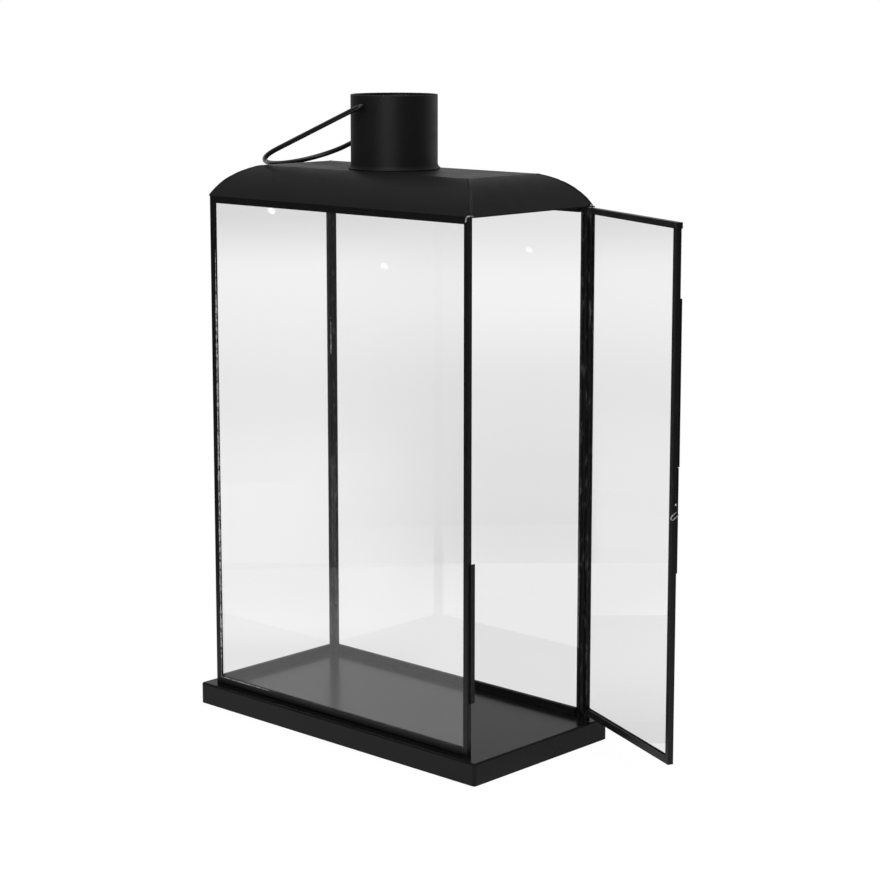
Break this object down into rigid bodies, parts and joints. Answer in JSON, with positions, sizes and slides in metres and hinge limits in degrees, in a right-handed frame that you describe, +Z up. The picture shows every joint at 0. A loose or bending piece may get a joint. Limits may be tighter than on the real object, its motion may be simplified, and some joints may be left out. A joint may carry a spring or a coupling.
{
  "type": "candle lantern",
  "caption": "Tall rectangular sheet-metal candle lantern with clear glass sides, a glazed end door on pins, a cushion-shaped roof, an open chimney and a round-wire bail.",
  "frame": {"origin": "middle of the underside of the base, on the surface that the lantern stands on", "axes": "+Z up; X along the lantern with the door at +X; -Y is the front long side and +Y the back"},
  "size_m": [0.5005, 0.1848, 0.6],
  "materials": {
    "black_metal": "matte black",
    "clear_glass": "clear",
    "bright_steel": "bright wire"
  },
  "bodies": {
    "housing": {"base_tray": "black_metal", "base_bottom": "black_metal", "post_front_far": "black_metal", "post_front_door": "black_metal", "post_back_far": "black_metal", "post_back_door": "black_metal", "bottom_rail_front": "black_metal", "bottom_rail_back": "black_metal", "bottom_rail_far": "black_metal", "top_rail_front": "black_metal", "top_rail_back": "black_metal", "top_rail_far": "black_metal", "door_header": "black_metal", "pane_front": "clear_glass", "pane_back": "clear_glass", "pane_far": "clear_glass", "roof_top": "black_metal", "roof_front": "black_metal", "roof_back": "black_metal", "roof_door_end": "black_metal", "roof_far_end": "black_metal", "chimney_tube": "black_metal", "chimney_collar": "black_metal", "pivot_bush": "black_metal", "door_stop": "black_metal"},
    "door": {"door_hinge_stile": "black_metal", "door_free_stile": "black_metal", "door_top_rail": "black_metal", "door_bottom_rail": "black_metal", "door_pane": "clear_glass", "hinge_pin_top": "bright_steel", "hinge_pin_bottom": "bright_steel", "door_lap_strip": "black_metal", "catch_plate": "black_metal", "catch_spring": "bright_steel", "catch_rivet": "bright_steel"},
    "bail": {"bail": "black_metal"}
  },
  "joints": [
    {"name": "door_hinge", "type": "hinge", "parent": "housing", "child": "door", "pos_m": [0.1685, 0.0785, 0.26], "axis": [0, 0, 1], "range_deg": [-66.9, 105]},
    {"name": "bail_hinge", "type": "hinge", "parent": "housing", "child": "bail", "pos_m": [-0.0038, 0, 0.59], "axis": [0, 1, 0], "range_deg": [-1.3, 223.5]}
  ]
}
